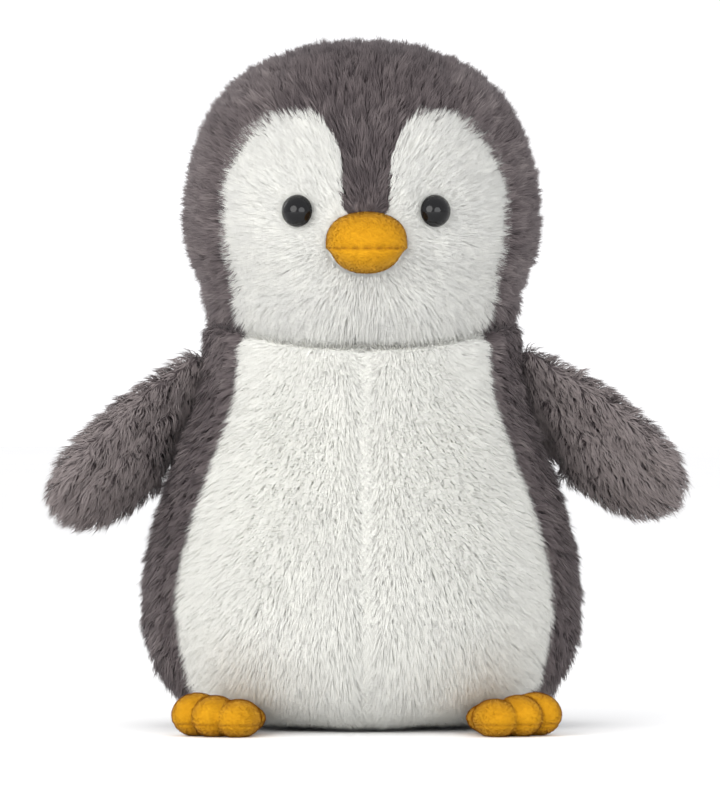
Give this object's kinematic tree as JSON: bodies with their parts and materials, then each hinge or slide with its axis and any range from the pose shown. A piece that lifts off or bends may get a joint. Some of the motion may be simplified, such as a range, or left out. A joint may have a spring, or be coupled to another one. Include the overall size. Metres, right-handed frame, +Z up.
{
  "type": "plush penguin",
  "caption": "Standing plush penguin with a grey back and crown, a white face and belly, amber felt beak and feet, round black eyes, wings held out; wings swing, the head turns and nods",
  "frame": {"origin": "middle of the base panel, on the floor under the body's axis", "axes": "+Z up, the toy faces -Y, +X is the toy's left"},
  "size_m": [0.2816, 0.2017, 0.2989],
  "materials": {
    "grey_fur": "long pile faux fur, warm grey",
    "white_fur": "long pile faux fur, off white",
    "amber_felt": "short pile brushed knit, amber",
    "filling": "polyester fibre filling, hidden",
    "bag_cloth": "thin woven bag of pellets, hidden",
    "eye_black": "polished black",
    "washer_white": "moulded, hidden",
    "label_cloth": "satin ribbon, blank"
  },
  "bodies": {
    "body": {"belly_left": "white_fur", "belly_right": "white_fur", "back_left": "grey_fur", "back_right": "grey_fur", "base_panel": "grey_fur", "body_stuffing": "filling", "pellet_bag": "bag_cloth", "care_label": "label_cloth", "foot_left_upper": "amber_felt", "foot_left_sole": "amber_felt", "foot_left_stuffing": "filling", "foot_right_upper": "amber_felt", "foot_right_sole": "amber_felt", "foot_right_stuffing": "filling"},
    "neck": {"neck_wad": "filling"},
    "head": {"crown_strip": "grey_fur", "head_side_left": "grey_fur", "head_side_right": "grey_fur", "face_left": "white_fur", "face_right": "white_fur", "head_stuffing": "filling", "beak_upper": "amber_felt", "beak_lower": "amber_felt", "beak_stuffing": "filling", "eye_left": "eye_black", "eye_right": "eye_black", "eye_washer_left": "washer_white", "eye_washer_right": "washer_white"},
    "wing_left": {"wing_left_outer": "grey_fur", "wing_left_inner": "grey_fur", "wing_left_stuffing": "filling"},
    "wing_right": {"wing_right_outer": "grey_fur", "wing_right_inner": "grey_fur", "wing_right_stuffing": "filling"}
  },
  "joints": [
    {"name": "wing_left_swing", "type": "hinge", "parent": "body", "child": "wing_left", "pos_m": [0.08005, 0, 0.142], "axis": [0.2506, 0.3509, -0.9023], "range_deg": [-45, 12], "stiffness_Nm_per_rad": 0.1},
    {"name": "wing_right_swing", "type": "hinge", "parent": "body", "child": "wing_right", "pos_m": [-0.08005, 0, 0.142], "axis": [0.2506, -0.3509, 0.9023], "range_deg": [-45, 12], "stiffness_Nm_per_rad": 0.1},
    {"name": "head_turn", "type": "hinge", "parent": "body", "child": "neck", "pos_m": [0, 0, 0.214], "axis": [0, 0, 1], "range_deg": [-25, 25], "stiffness_Nm_per_rad": 0.3},
    {"name": "head_nod", "type": "hinge", "parent": "neck", "child": "head", "pos_m": [0, 0, 0.214], "axis": [1, 0, 0], "range_deg": [-7, 8], "stiffness_Nm_per_rad": 0.5}
  ]
}
